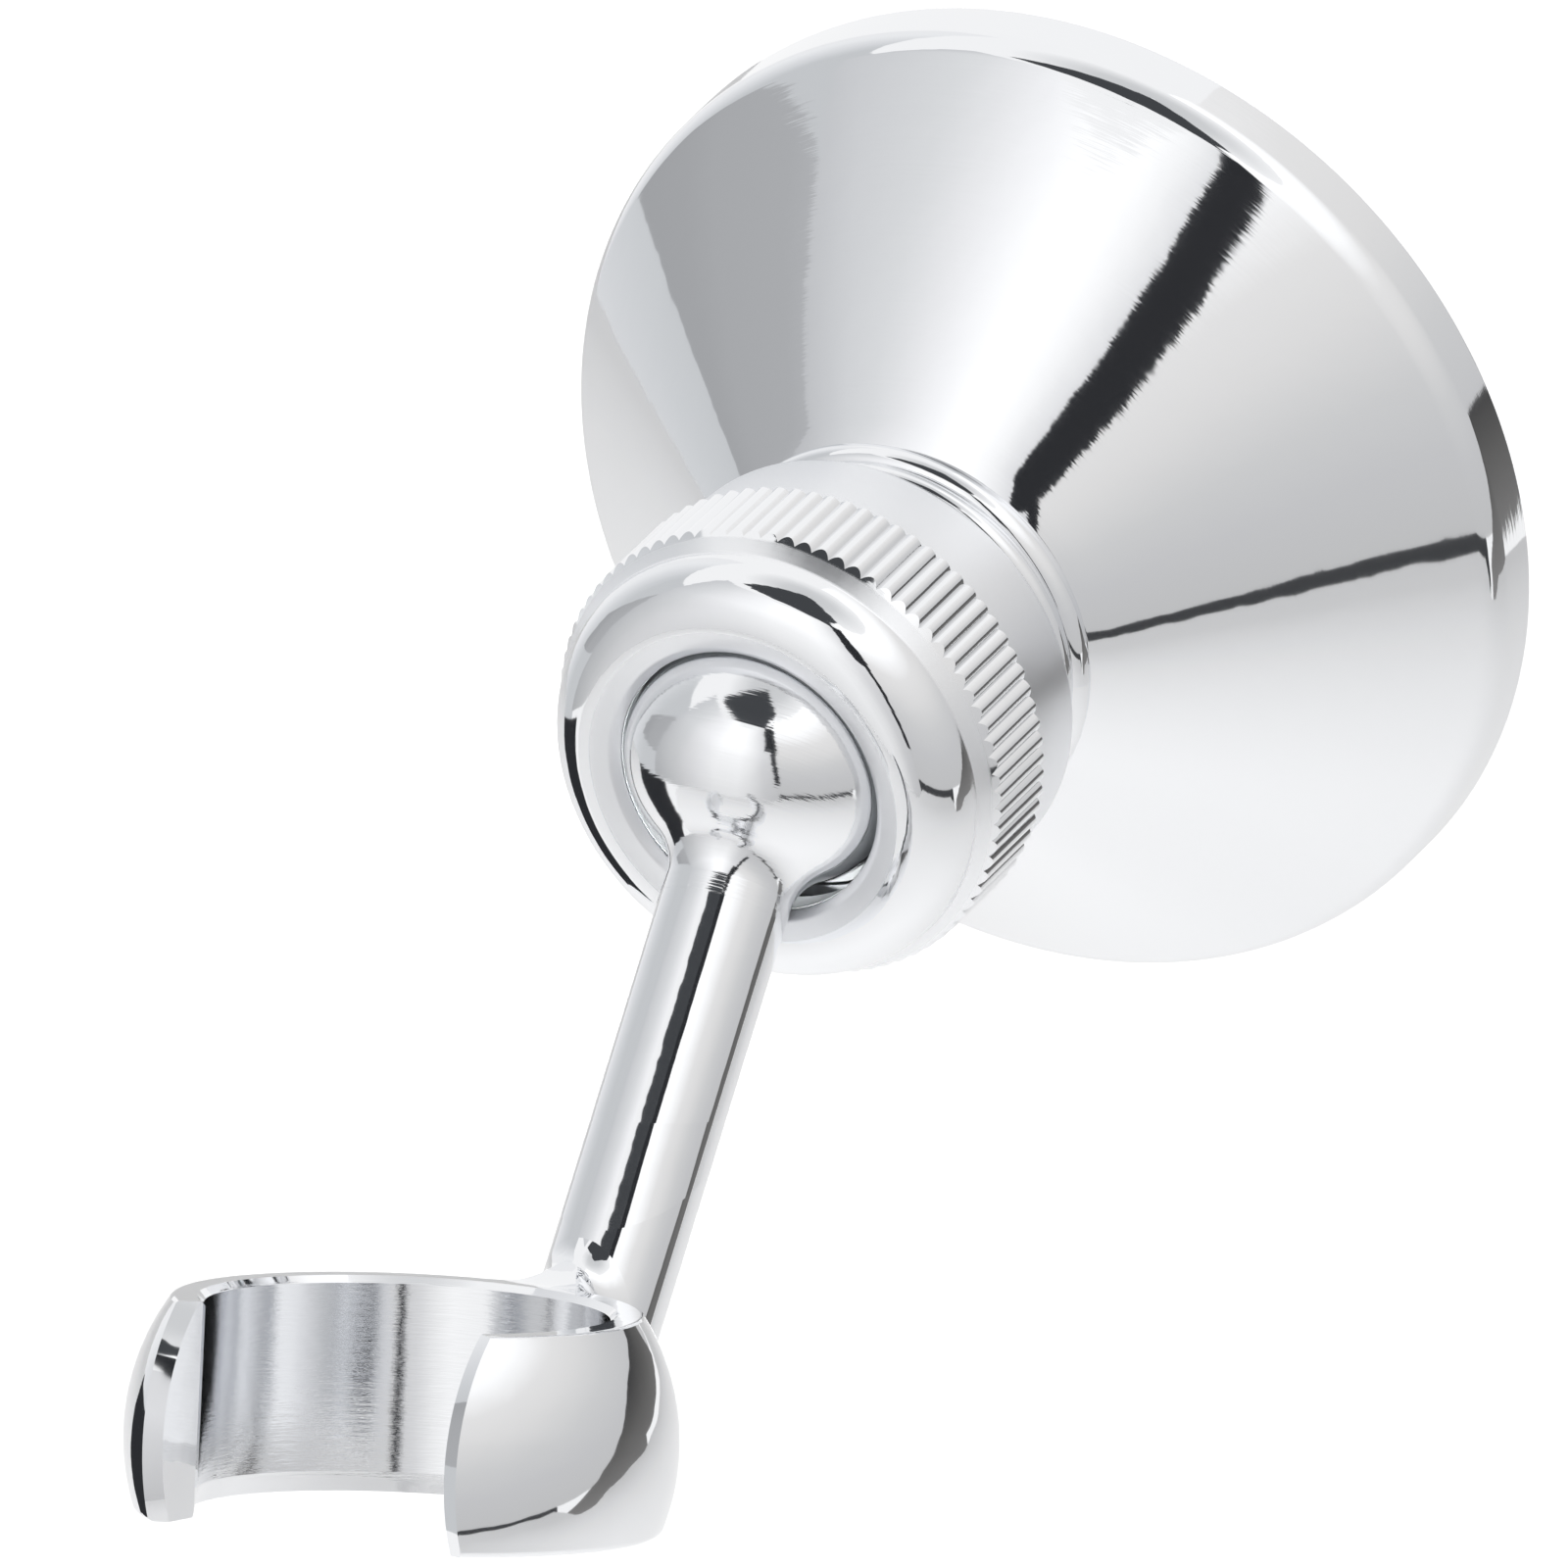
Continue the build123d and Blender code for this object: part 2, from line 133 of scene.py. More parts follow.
class HolderFinish(bpy.types.PropertyGroup):
    """Colours and gloss of the holder."""

    chrome_colour: FloatVectorProperty(
        name="Chrome",
        description="Colour of the plating",
        subtype="COLOR",
        min=0,
        max=1,
        default=linear("#f1f2f4"),
    )
    chrome_roughness: FloatProperty(
        name="Chrome roughness",
        description="Blur of the polished plating",
        subtype="FACTOR",
        min=0,
        max=1,
        default=0.045,
    )
    satin_roughness: FloatProperty(
        name="Satin roughness",
        description="Blur of the plating where the brass was left as turned",
        subtype="FACTOR",
        min=0,
        max=1,
        default=0.3,
    )
    polish_spacing: FloatProperty(
        name="Polish spacing",
        description="Distance between polishing marks",
        unit="LENGTH",
        precision=6,
        default=0.22 * MM,
    )
    polish_run: FloatProperty(
        name="Polish run",
        description="Length of a polishing mark round the piece",
        unit="LENGTH",
        precision=6,
        default=5 * MM,
    )
    wave_length: FloatProperty(
        name="Wave length",
        description="Length of the slow waves that hand polishing leaves",
        unit="LENGTH",
        precision=6,
        default=7 * MM,
    )
    steel_colour: FloatVectorProperty(
        name="Steel",
        description="Colour of the zinc plated plate and stud",
        subtype="COLOR",
        min=0,
        max=1,
        default=linear("#b9bcc0"),
    )
    rubber_colour: FloatVectorProperty(
        name="Rubber",
        description="Colour of the pressure washer",
        subtype="COLOR",
        min=0,
        max=1,
        default=linear("#202122"),
    )
    nylon_colour: FloatVectorProperty(
        name="Nylon",
        description="Colour of the ball seat and the friction ring",
        subtype="COLOR",
        min=0,
        max=1,
        default=linear("#dee2e4"),
    )


class HolderStage(bpy.types.PropertyGroup):
    """Camera, floor and cards around the holder."""

    azimuth: FloatProperty(
        name="Azimuth",
        description="Turn of the camera round the holder",
        subtype="ANGLE",
        default=radians(27.06),
    )
    elevation: FloatProperty(
        name="Elevation",
        description="Height of the camera above the holder",
        subtype="ANGLE",
        default=radians(29.6),
    )
    frame_width: FloatProperty(
        name="Frame width",
        description="Width of the view at the holder",
        unit="LENGTH",
        default=90.96 * MM,
    )
    lens: FloatProperty(name="Lens", description="Focal length in millimetres", default=1500)
    floor_drop: FloatProperty(
        name="Floor drop",
        description="Depth of the floor below the wall axis",
        unit="LENGTH",
        default=0.16,
    )
    card_distance: FloatProperty(
        name="Card distance",
        description="Distance of the studio cards from the joint",
        unit="LENGTH",
        default=2.0,
    )


def start_ring(name, distance, radius, vertices):
    """A circle about the wall axis at a distance from the wall, in edit mode with all of it selected."""
    bpy.ops.object.select_all(action="DESELECT")
    bpy.ops.mesh.primitive_circle_add(
        vertices=vertices, radius=radius * MM, location=(0, -distance * MM, 0), rotation=(pi / 2, 0, 0)
    )
    piece = bpy.context.object
    piece.name = name
    bpy.ops.object.transform_apply(location=True, rotation=True, scale=True)
    bpy.ops.object.mode_set(mode="EDIT")
    bpy.ops.mesh.select_all(action="SELECT")
    return piece


def draw_out(rings):
    """Draws the selected ring out through (distance from the wall, radius) points, in millimetres."""
    for (near, small), (far, large) in zip(rings, rings[1:]):
        bpy.ops.mesh.extrude_edges_move(TRANSFORM_OT_translate={"value": (0, (near - far) * MM, 0)})
        bpy.ops.transform.resize(value=(large / small, 1, large / small), center_override=(0, -far * MM, 0))


def on_ring(vertex, distance, radius):
    """Whether a point is on one ring of a turned piece, by distance and radius in millimetres."""
    across = hypot(vertex.co.x, vertex.co.z)
    return abs(-vertex.co.y - distance * MM) < TOUCH and abs(across - radius * MM) < TOUCH


def select_ring(piece, distance, radius):
    """Selects the edges of one ring, by its distance from the wall and its radius in millimetres."""
    bpy.ops.mesh.select_all(action="DESELECT")
    mesh = bmesh.from_edit_mesh(piece.data)
    ring = [edge for edge in mesh.edges if all(on_ring(vertex, distance, radius) for vertex in edge.verts)]
    if not ring:
        raise RuntimeError(f"{piece.name} has no ring at {distance} mm")
    for edge in ring:
        edge.select_set(True)
    bmesh.update_edit_mesh(piece.data)


def round_ring(piece, distance, radius, offset, segments):
    """Rounds one ring of a turned piece."""
    select_ring(piece, distance, radius)
    bpy.ops.mesh.bevel(
        offset=offset,
        offset_type="OFFSET",
        segments=segments,
        profile=0.5,
        affect="EDGES",
        clamp_overlap=False,
    )


def finish_turning(piece, angle):
    """Closes a turned piece, turns its faces outwards and lets its broad faces set the shading."""
    bpy.ops.mesh.select_all(action="SELECT")
    bpy.ops.mesh.remove_doubles(threshold=1e-6)
    bpy.ops.mesh.normals_make_consistent(inside=False)
    bpy.ops.object.mode_set(mode="OBJECT")
    bpy.ops.object.shade_smooth_by_angle(angle=radians(angle))
    bpy.ops.object.modifier_add(type="WEIGHTED_NORMAL")
    piece.modifiers[-1].keep_sharp = True
    piece.modifiers[-1].weight = 100
    bpy.ops.object.modifier_apply(modifier=piece.modifiers[-1].name)


def hand_over(piece, node, body):
    """Puts a modelled piece in a CAD node's place, on its body."""
    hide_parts(node)
    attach(piece, body)


class HOLDER_OT_flange(bpy.types.Operator):
    """Turns the flange: a straight rim, a cone and the small flat round the neck"""

    bl_idname = "holder.flange"
    bl_label = "Turn the flange"

    def execute(self, context):
        sizes = context.scene.holder_sizes
        # Distances from the wall and radii, in millimetres
        rim_radius, rim_inside, rim_height = 30.0, 28.6, 3.8
        top, top_radius, hole = 20.4, 11.75, 8.15
        inside_top, inside_top_radius, inside_rim = 19.0, 11.21, 3.181
        # Spinning leaves the cone a little domed: flatter at the neck, steeper towards the rim
        dome = sizes.dome / MM
        shares = [1 - step / 16 for step in range(17)]
        cone = [
            (
                top - (top - rim_height) * share + dome * (share - share**3.2),
                top_radius + (rim_radius - top_radius) * share,
            )
            for share in shares
        ]
        rings = [
            (0.0, rim_inside),
            (0.0, rim_radius),
            *cone,
            (top, hole),
            (inside_top, hole),
            (inside_top, inside_top_radius),
            (inside_rim, rim_inside),
            (0.0, rim_inside),
        ]
        piece = start_ring("flange", *rings[0], 256)
        draw_out(rings)
        round_ring(piece, 0.0, rim_radius, sizes.edge_round, 3)
        round_ring(piece, rim_height, rim_radius, sizes.rim_round, 14)
        round_ring(piece, top, top_radius, sizes.edge_round, 4)
        finish_turning(piece, 40)
        hand_over(piece, "wall_flange", "wall_base")
        return {"FINISHED"}


class HOLDER_OT_nut(bpy.types.Operator):
    """Turns the clamp nut: plain band, knurl, shoulder, rounded nose and dished mouth"""

    bl_idname = "holder.nut"
    bl_label = "Turn and knurl the nut"

    def execute(self, context):
        sizes = context.scene.holder_sizes
        # Distances from the wall and radii, in millimetres, from the back over the outside to the thread
        back, back_radius, back_round, thread = 25.39, 13.4, 0.55, 11.45
        band, band_radius = 30.89, 13.75
        knurl, crest = 31.15, 14.28
        neck, neck_radius = 37.85, 13.33
        face, dish_radius = 41.35, 9.939
        lip, lip_radius = 41.05, 8.769
        mouth, mouth_radius = 40.55, 8.269
        pocket, pocket_radius, pocket_end = 40.40, 10.15, 36.70
        # The shoulder's cone runs back by this much for each millimetre of height
        cut = 1.38
        root = crest - sizes.ridge_height / MM
        shoulder = neck - (root - neck_radius) * cut
        rings = [
            (back, thread),
            (back, back_radius),
            (band, band_radius),
            (knurl, root),
            (shoulder, root),
            (neck, neck_radius),
            (face, neck_radius),
            (face, dish_radius),
            (lip, lip_radius),
            (mouth, mouth_radius),
            (pocket, mouth_radius),
            (pocket, pocket_radius),
            (pocket_end, pocket_radius),
            (pocket_end, thread),
            (back, thread),
        ]
        # Points of the ring on each ridge
        steps = 8
        piece = start_ring("nut", *rings[0], sizes.ridges * steps)
        draw_out(rings)
        # The knurl: each line of points along a ridge is drawn outwards by its share of the ridge's height
        for share in range(1, steps // 2 + 1):
            height = sizes.ridge_height / MM * (1 - (2 * share / steps - 1) ** 2)
            for distance, slide in ((knurl, 0.0), (shoulder, cut)):
                bpy.ops.mesh.select_all(action="DESELECT")
                mesh = bmesh.from_edit_mesh(piece.data)
                for vertex in mesh.verts:
                    turn = (atan2(vertex.co.z, vertex.co.x) / (2 * pi) * sizes.ridges * steps) % steps
                    on_line = round(turn) % steps in (share, steps - share)
                    vertex.select_set(on_line and on_ring(vertex, distance, root))
                bmesh.update_edit_mesh(piece.data)
                grow = 1 + height / root
                bpy.ops.transform.resize(value=(grow, 1, grow), center_override=(0, -distance * MM, 0))
                # The shoulder is turned last: its cone cuts each ridge off in a curve
                bpy.ops.transform.translate(value=(0, slide * height * MM, 0))
        round_ring(piece, back, back_radius, back_round * MM, 5)
        round_ring(piece, neck, neck_radius, sizes.edge_round, 2)
        round_ring(piece, face, neck_radius, sizes.nose_round, 18)
        round_ring(piece, lip, lip_radius, sizes.edge_round, 3)
        round_ring(piece, mouth, mouth_radius, sizes.edge_round / 2, 2)
        finish_turning(piece, 30)
        hand_over(piece, "clamp_nut", "nut")
        return {"FINISHED"}


class HOLDER_OT_ball(bpy.types.Operator):
    """Turns the ball, flatter in front, with its filleted neck and spigot, and lays it along the arm"""

    bl_idname = "holder.ball"
    bl_label = "Turn the ball"

    def execute(self, context):
        # Radii, and distances along the arm from the ball's centre, in millimetres
        ball, front, arm, hollow, spigot = 8.4, 7.0, 3.75, 2.8, 2.5
        fillet_end, step, spigot_end = 7.958, 9.146, 18.6
        back_turns = [radians(turn) for turn in range(165, 90, -3)]
        front_turns = [radians(turn) for turn in range(0, 53, 2)]
        neck_turns = [radians(turn) for turn in range(57, -1, -3)]
        rings = [(ball * cos(turn), ball * sin(turn)) for turn in back_turns]
        rings += [(front * sin(turn), ball * cos(turn)) for turn in front_turns]
        rings += [
            (fillet_end - hollow * sin(turn), arm + hollow - hollow * cos(turn)) for turn in neck_turns
        ]
        rings += [(step, arm), (step, spigot), (spigot_end, spigot)]
        piece = start_ring("ball", *rings[0], 192)
        bpy.ops.mesh.edge_face_add()
        draw_out(rings)
        bpy.ops.mesh.edge_face_add()
        finish_turning(piece, 45)
        piece.rotation_mode = "QUATERNION"
        piece.rotation_quaternion = Vector((0, -1, 0)).rotation_difference(ARM_AXIS)
        piece.location = BALL_CENTRE
        bpy.ops.object.transform_apply(location=True, rotation=True, scale=True)
        hand_over(piece, "pivot_ball", "ball")
        return {"FINISHED"}


def along_axis(tree, centre, axis):
    """Object coordinates about a piece's own axis: x and y across it, z along it, and the radius."""
    turn = axis.to_track_quat("Z", "Y").inverted()
    place = add_node(tree, "ShaderNodeTexCoord")
    local = add_node(
        tree,
        "ShaderNodeMapping",
        inputs={"Vector": place.outputs["Object"], "Location": -(turn @ centre), "Rotation": turn.to_euler()},
    )
    part = add_node(tree, "ShaderNodeSeparateXYZ", inputs={0: local.outputs[0]})
    flat = add_node(tree, "ShaderNodeCombineXYZ", inputs={0: part.outputs[0], 1: part.outputs[1]})
    out = add_node(tree, "ShaderNodeVectorMath", {"operation": "LENGTH"}, {0: flat.outputs[0]})
    return place, local, part, out.outputs["Value"]


def colour_ramp(tree, value, unit, stops):
    """Colours over stops of (place, colour), with the places in a unit of the value."""
    first, last = stops[0][0], stops[-1][0]
    share = add_node(
        tree, "ShaderNodeMapRange", inputs={"Value": value, "From Min": first * unit, "From Max": last * unit}
    )
    ramp = add_node(tree, "ShaderNodeValToRGB", inputs={0: share.outputs[0]})
    while len(ramp.color_ramp.elements) < len(stops):
        ramp.color_ramp.elements.new(1.0)
    for mark, (where, colour) in zip(ramp.color_ramp.elements, stops):
        mark.position = (where - first) / (last - first)
        mark.color = (*colour, 1)
    return ramp.outputs[0]


def tone_ramp(tree, value, stops):
    """Grey tones over stops of (millimetres, tone), for a value in metres."""
    return colour_ramp(tree, value, MM, [(where, (tone, tone, tone)) for where, tone in stops])


def chrome_shader(tree, finish, roughness, normal):
    """The plating itself: a bright, faintly blue mirror."""
    shader = add_node(
        tree,
        "ShaderNodeBsdfPrincipled",
        inputs={
            "Base Color": (*finish.chrome_colour, 1),
            "Metallic": 1.0,
            "Roughness": roughness,
            "Normal": normal,
        },
    )
    add_node(tree, "ShaderNodeOutputMaterial", inputs={"Surface": shader.outputs[0]})


def polish_waves(tree, finish, place, depth):
    """Slow waves of hand polishing, which bend long reflections a little."""
    waves = add_node(
        tree,
        "ShaderNodeTexNoise",
        inputs={
            "Vector": place.outputs["Object"],
            "Scale": 1 / finish.wave_length,
            "Detail": 3.0,
            "Roughness": 0.5,
        },
    )
    return add_node(
        tree, "ShaderNodeBump", inputs={"Strength": 1.0, "Distance": depth * MM, "Height": waves.outputs[0]}
    )


def turned_chrome(name, finish, centre, axis, depth, waves, roughness, bands=None):
    """Chrome over turned brass: a mirror whose hair-fine rings fray the edges of reflections.

    Bands give the roughness by radius instead, so that faces left as turned stay satin.
    """
    material, tree = new_material(name)
    place, _, part, radius = along_axis(tree, centre, axis)
    # Broken rings, drawn coarser than real polishing marks so that they show
    fine, slow = 1 / finish.polish_spacing, 1 / finish.polish_run
    scaled = [
        add_node(tree, "ShaderNodeMath", {"operation": "MULTIPLY"}, {0: value, 1: scale}).outputs[0]
        for value, scale in (
            (radius, fine),
            (part.outputs[2], fine),
            (part.outputs[0], slow),
            (part.outputs[1], slow),
        )
    ]
    lines = add_node(tree, "ShaderNodeCombineXYZ", inputs={0: scaled[0], 1: scaled[1], 2: scaled[2]})
    marks = add_node(
        tree,
        "ShaderNodeTexNoise",
        {"noise_dimensions": "4D"},
        {"Vector": lines.outputs[0], "W": scaled[3], "Scale": 1.0, "Detail": 2.0, "Roughness": 0.6},
    )
    wavy = polish_waves(tree, finish, place, waves)
    bump = add_node(
        tree,
        "ShaderNodeBump",
        inputs={
            "Strength": 1.0,
            "Distance": depth * MM,
            "Height": marks.outputs[0],
            "Normal": wavy.outputs[0],
        },
    )
    chrome_shader(tree, finish, tone_ramp(tree, radius, bands) if bands else roughness, bump.outputs[0])
    return material


def cast_chrome(name, finish):
    """Chrome over polished casting: soft waves outside, and tool marks that streak the bore."""
    material, tree = new_material(name)
    place, local, _, radius = along_axis(tree, CLIP_CENTRE, CLIP_AXIS)
    in_bore = tone_ramp(tree, radius, [(11.0, 1.0), (11.72, 1.0), (11.8, 0.0), (12.0, 0.0)])
    # Tool marks round the bore, coarser than real so that they show: their spacing and length
    spacing, run = 0.16 * MM, 2 * MM
    marks_place = add_node(
        tree,
        "ShaderNodeVectorMath",
        {"operation": "MULTIPLY"},
        {0: local.outputs[0], 1: (1 / run, 1 / run, 1 / spacing)},
    )
    marks = add_node(
        tree,
        "ShaderNodeTexNoise",
        inputs={"Vector": marks_place.outputs[0], "Scale": 1.0, "Detail": 3.0, "Roughness": 0.6},
    )
    wavy = polish_waves(tree, finish, place, 0.05)
    bump = add_node(
        tree,
        "ShaderNodeBump",
        inputs={
            "Strength": in_bore,
            "Distance": 0.016 * MM,
            "Height": marks.outputs[0],
            "Normal": wavy.outputs[0],
        },
    )
    blur = add_node(
        tree,
        "ShaderNodeMapRange",
        inputs={"Value": in_bore, "To Min": finish.chrome_roughness, "To Max": 0.08},
    )
    chrome_shader(tree, finish, blur.outputs[0], bump.outputs[0])
    return material


def mottled(name, colour, darker, metallic, roughness, grain, depth):
    """A plain working surface: cloudy tone, uneven gloss and a grain of a size in millimetres."""
    material, tree = new_material(name)
    place = add_node(tree, "ShaderNodeTexCoord")
    clouds = add_node(
        tree,
        "ShaderNodeTexNoise",
        inputs={"Vector": place.outputs["Object"], "Scale": 1 / (grain * 8 * MM), "Detail": 4.0},
    )
    tone = add_node(
        tree,
        "ShaderNodeMix",
        {"data_type": "RGBA"},
        {0: clouds.outputs[0], 6: (*[part * darker for part in colour], 1), 7: (*colour, 1)},
    )
    gloss = add_node(
        tree,
        "ShaderNodeMapRange",
        inputs={"Value": clouds.outputs[0], "To Min": roughness - 0.08, "To Max": roughness + 0.08},
    )
    specks = add_node(
        tree,
        "ShaderNodeTexNoise",
        inputs={"Vector": place.outputs["Object"], "Scale": 1 / (grain * MM), "Detail": 2.0},
    )
    bump = add_node(
        tree, "ShaderNodeBump", inputs={"Strength": 1.0, "Distance": depth * MM, "Height": specks.outputs[0]}
    )
    shader = add_node(
        tree,
        "ShaderNodeBsdfPrincipled",
        inputs={
            "Base Color": tone.outputs[2],
            "Metallic": metallic,
            "Roughness": gloss.outputs[0],
            "Normal": bump.outputs[0],
        },
    )
    add_node(tree, "ShaderNodeOutputMaterial", inputs={"Surface": shader.outputs[0]})
    return material


class HOLDER_OT_finish(bpy.types.Operator):
    """Gives every piece its finish"""

    bl_idname = "holder.finish"
    bl_label = "Finish the pieces"

    def execute(self, context):
        finish = context.scene.holder_finish
        bright, satin = finish.chrome_roughness, finish.satin_roughness
        out, start = Vector((0, -1, 0)), Vector((0, 0, 0))
        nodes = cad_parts
        # Spun flange: long frayed reflections down the cone
        spun = turned_chrome(
            "Chrome on spun brass", finish, start, out, depth=0.0022, waves=0.03, roughness=bright
        )
        dress(bpy.data.objects["flange"], spun)
        # Neck: two bright beads
        beads = turned_chrome(
            "Chrome on turned brass", finish, start, out, depth=0.002, waves=0.03, roughness=bright
        )
        dress(nodes["socket_body"], beads)
        # Nut: mirror nose, satin dish, shoulder and plain band, and a bright knurl
        dish = [(8.0, 0.36), (9.88, 0.36)]
        nose = [(9.97, bright), (13.3, bright)]
        band = [(13.36, satin), (13.9, satin)]
        knurl = [(14.0, 0.06), (14.4, bright)]
        nut = turned_chrome(
            "Chrome on knurled brass",
            finish,
            start,
            out,
            depth=0.003,
            waves=0.05,
            roughness=bright,
            bands=dish + nose + band + knurl,
        )
        dress(bpy.data.objects["nut"], nut)
        # Ball: clear turning lines square to the arm
        ball = turned_chrome(
            "Chrome on turned ball", finish, BALL_CENTRE, ARM_AXIS, depth=0.009, waves=0.09, roughness=0.08
        )
        dress(bpy.data.objects["ball"], ball)
        # Arm and clip: mirror outside, streaked bore
        dress(nodes["holder_arm"], cast_chrome("Chrome on polished casting", finish))
        # Plate and stud: dull zinc with a cloudy spangle
        steel = mottled(
            "Zinc plated steel",
            finish.steel_colour,
            darker=0.8,
            metallic=1.0,
            roughness=0.36,
            grain=0.4,
            depth=0.004,
        )
        # Washer: matt black rubber with a fine tooth
        rubber = mottled(
            "Matt black rubber",
            finish.rubber_colour,
            darker=0.7,
            metallic=0.0,
            roughness=0.66,
            grain=0.25,
            depth=0.01,
        )
        # Seat and ring: natural nylon, waxy and a little uneven
        nylon = mottled(
            "Natural nylon",
            finish.nylon_colour,
            darker=0.93,
            metallic=0.0,
            roughness=0.42,
            grain=0.3,
            depth=0.004,
        )
        for node, material in (
            ("wall_plate", steel),
            ("mounting_stud", steel),
            ("pressure_washer", rubber),
            ("ball_seat", nylon),
            ("friction_ring", nylon),
            ("wall_flange", spun),
            ("clamp_nut", nut),
            ("pivot_ball", ball),
        ):
            dress(nodes[node], material)
        return {"FINISHED"}


def even_card(name, colour):
    """A card of one tone, as the chrome sees it."""
    material, tree = new_material(name)
    light = add_node(tree, "ShaderNodeEmission", inputs={"Color": (*linear(colour), 1), "Strength": 1.0})
    add_node(tree, "ShaderNodeOutputMaterial", inputs={"Surface": light.outputs[0]})
    return material


def lit_cloth(name, strength, across=None, upwards=None):
    """White cloth lit from behind: tones by azimuth across it and by elevation up it, both in degrees."""
    material, tree = new_material(name)
    place = add_node(tree, "ShaderNodeTexCoord")
    from_joint = add_node(
        tree, "ShaderNodeVectorMath", {"operation": "SUBTRACT"}, {0: place.outputs["Object"], 1: BALL_CENTRE}
    )
    part = add_node(tree, "ShaderNodeSeparateXYZ", inputs={0: from_joint.outputs[0]})
    ahead = add_node(tree, "ShaderNodeMath", {"operation": "MULTIPLY"}, {0: part.outputs[1], 1: -1.0})
    azimuth = add_node(
        tree, "ShaderNodeMath", {"operation": "ARCTAN2"}, {0: part.outputs[0], 1: ahead.outputs[0]}
    )
    far = add_node(tree, "ShaderNodeVectorMath", {"operation": "LENGTH"}, {0: from_joint.outputs[0]})
    rise = add_node(
        tree, "ShaderNodeMath", {"operation": "DIVIDE"}, {0: part.outputs[2], 1: far.outputs["Value"]}
    )
    elevation = add_node(tree, "ShaderNodeMath", {"operation": "ARCSINE"}, {0: rise.outputs[0]})
    tones = []
    for angle, stops in ((azimuth, across), (elevation, upwards)):
        if stops:
            colours = [(degree, linear(colour)) for degree, colour in stops]
            tones.append(colour_ramp(tree, angle.outputs[0], radians(1), colours))
    tone = tones[0]
    if len(tones) == 2:
        tone = add_node(
            tree, "ShaderNodeVectorMath", {"operation": "MULTIPLY"}, {0: tones[0], 1: tones[1]}
        ).outputs[0]
    light = add_node(tree, "ShaderNodeEmission", inputs={"Color": tone, "Strength": strength})
    add_node(tree, "ShaderNodeOutputMaterial", inputs={"Surface": light.outputs[0]})
    return material


def direction(azimuth, elevation):
    """A direction from the wall: azimuth from straight out towards +x, elevation upwards, in degrees."""
    a, e = radians(azimuth), radians(elevation)
    return Vector((sin(a) * cos(e), -cos(a) * cos(e), sin(e)))


def curved_card(name, azimuths, lows, highs, radius, material):
    """A card bent round the joint: its span of azimuth, and its elevations at both ends, in degrees."""
    span = azimuths[1] - azimuths[0]
    bpy.ops.mesh.primitive_grid_add(x_subdivisions=max(2, round(span / 3)), y_subdivisions=24, size=1)
    card = bpy.context.object
    card.name = name
    for vertex in card.data.vertices:
        across, up = vertex.co.x + 0.5, vertex.co.y + 0.5
        low = lows[0] + (lows[1] - lows[0]) * across
        high = highs[0] + (highs[1] - highs[0]) * across
        vertex.co = BALL_CENTRE + direction(azimuths[0] + span * across, low + (high - low) * up) * radius
    dress(card, material)
    only_in_reflections(card)


def only_in_reflections(obj):
    """A card that shows in the chrome and neither in the picture nor in the light."""
    obj.visible_camera = False
    obj.visible_diffuse = False
    obj.visible_shadow = False
    obj.visible_transmission = False


def towards_camera(stage):
    """The directions to the right, up and back to the camera."""
    a, e = stage.azimuth, stage.elevation
    right = Vector((cos(a), sin(a), 0))
    back = Vector((sin(a) * cos(e), -cos(a) * cos(e), sin(e)))
    return right, back.cross(right), back


def add_camera(scene, stage):
    """A long lens that looks down at the holder, with the middle of the picture below the joint."""
    right, up, back = towards_camera(stage)
    aside, below = -16.42 * MM, -17.98 * MM
    centre = right * aside + up * below
    data = bpy.data.cameras.new("Camera")
    data.lens = stage.lens
    data.sensor_width = 36
    camera = bpy.data.objects.new("Camera", data)
    scene.collection.objects.link(camera)
    place = centre + back * stage.frame_width * stage.lens / data.sensor_width
    turn = Matrix([[right[i], up[i], back[i], 0] for i in range(3)] + [[0, 0, 0, 1]])
    camera.matrix_world = Matrix.Translation(place) @ turn
    scene.camera = camera


def paper_finish(stage):
    """White paper that glows to the camera, and to the chrome with a painted pool of light, brighter under
    the holder than at its far edge.
    """
    material, tree = new_material("White paper floor")
    ray = add_node(tree, "ShaderNodeLightPath")
    place = add_node(tree, "ShaderNodeTexCoord")
    foot = BALL_CENTRE + Vector((0, 0, -stage.floor_drop))
    far = add_node(
        tree, "ShaderNodeVectorMath", {"operation": "DISTANCE"}, {0: place.outputs["Object"], 1: foot}
    )
    # Painted pool of light: the paper's glow in the chrome fades from under the holder to its far edge
    painted_pool = add_node(
        tree,
        "ShaderNodeMapRange",
        inputs={
            "Value": far.outputs["Value"],
            "From Min": 0.4 * stage.floor_drop,
            "From Max": 2.6 * stage.floor_drop,
            "To Min": 0.46,
            "To Max": 0.11,
        },
    )
    mirrored = add_node(
        tree,
        "ShaderNodeMath",
        {"operation": "MULTIPLY"},
        {0: painted_pool.outputs[0], 1: ray.outputs["Is Glossy Ray"]},
    )
    seen = add_node(
        tree,
        "ShaderNodeMath",
        {"operation": "MAXIMUM"},
        {0: ray.outputs["Is Camera Ray"], 1: ray.outputs["Is Transmission Ray"]},
    )
    glowing = add_node(
        tree,
        "ShaderNodeMath",
        {"operation": "MULTIPLY_ADD"},
        {0: seen.outputs[0], 1: 0.62, 2: mirrored.outputs[0]},
    )
    paper = add_node(tree, "ShaderNodeBsdfDiffuse", inputs={"Color": (*linear("#f4f4f4"), 1)})
    lit = add_node(tree, "ShaderNodeEmission", inputs={"Color": (1, 1, 1, 1), "Strength": glowing.outputs[0]})
    both = add_node(tree, "ShaderNodeAddShader", inputs={0: paper.outputs[0], 1: lit.outputs[0]})
    add_node(tree, "ShaderNodeOutputMaterial", inputs={"Surface": both.outputs[0]})
    return material


